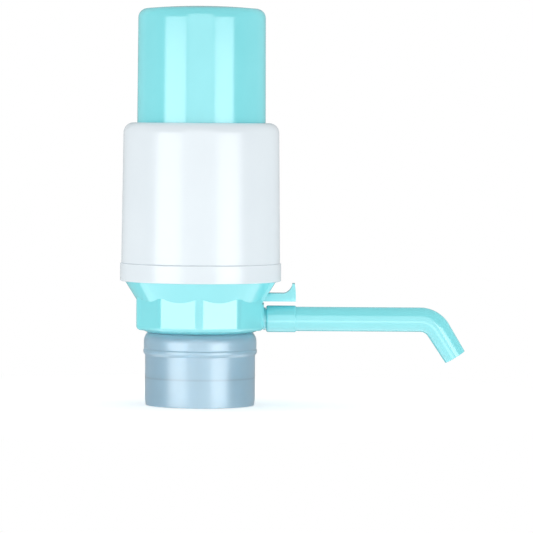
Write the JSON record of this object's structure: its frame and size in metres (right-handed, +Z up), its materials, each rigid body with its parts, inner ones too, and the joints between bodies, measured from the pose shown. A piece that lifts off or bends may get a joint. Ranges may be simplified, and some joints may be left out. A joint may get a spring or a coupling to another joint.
{
  "type": "water jug hand pump",
  "caption": "Hand-pressed pump for a drinking-water jug: aqua press cap in a white sleeve, flatted base, swivelling side spout, thumb vent lever and a translucent neck collar.",
  "frame": {"origin": "centre of the neck adapter's lower rim, where the jug's neck goes in", "axes": "+Z up along the pump's axis towards the press cap, +X towards the spout"},
  "size_m": [0.1814, 0.0846, 0.2093],
  "materials": {
    "aqua_pp": "glossy injection-moulded polypropylene",
    "white_pp": "satin injection-moulded polypropylene",
    "clear_ldpe": "translucent moulded polyethylene",
    "bellows_pe": "blow-moulded polyethylene",
    "silicone": "moulded silicone",
    "seal_rubber": "moulded rubber",
    "spring_steel": "stainless spring wire"
  },
  "bodies": {
    "pump_base": {"neck_adapter": "clear_ldpe", "neck_gasket": "silicone", "base_body": "aqua_pp", "suction_connector": "aqua_pp", "connector_washer": "silicone", "valve_deck": "white_pp", "delivery_valve": "silicone", "duct_seal": "silicone", "bellows": "bellows_pe", "return_spring": "spring_steel", "housing_ring": "white_pp", "housing_sleeve": "white_pp", "outlet_seals": "seal_rubber", "lever_pin": "spring_steel", "vent_spring": "spring_steel"},
    "press_cap": {"press_cap": "aqua_pp", "intake_seat": "white_pp", "intake_valve": "silicone"},
    "spout": {"spout_tube": "aqua_pp"},
    "vent_lever": {"vent_lever": "aqua_pp", "vent_seal": "silicone"}
  },
  "joints": [
    {"name": "press_slide", "type": "slide", "parent": "pump_base", "child": "press_cap", "axis": [0, 0, -1], "range_m": [0, 0.05], "stiffness_N_per_m": 150, "springref_m": -0.05, "deforming": ["bellows", "return_spring"]},
    {"name": "spout_swivel", "type": "hinge", "parent": "pump_base", "child": "spout", "pos_m": [0.0342, 0, 0.0455], "axis": [1, 0, 0], "continuous": true},
    {"name": "vent_lever_rock", "type": "hinge", "parent": "pump_base", "child": "vent_lever", "pos_m": [0.0316, 0, 0.0564], "axis": [0, 1, 0], "range_deg": [0, 5], "stiffness_Nm_per_rad": 0.15, "springref_deg": -6.88, "deforming": ["vent_spring"]}
  ]
}
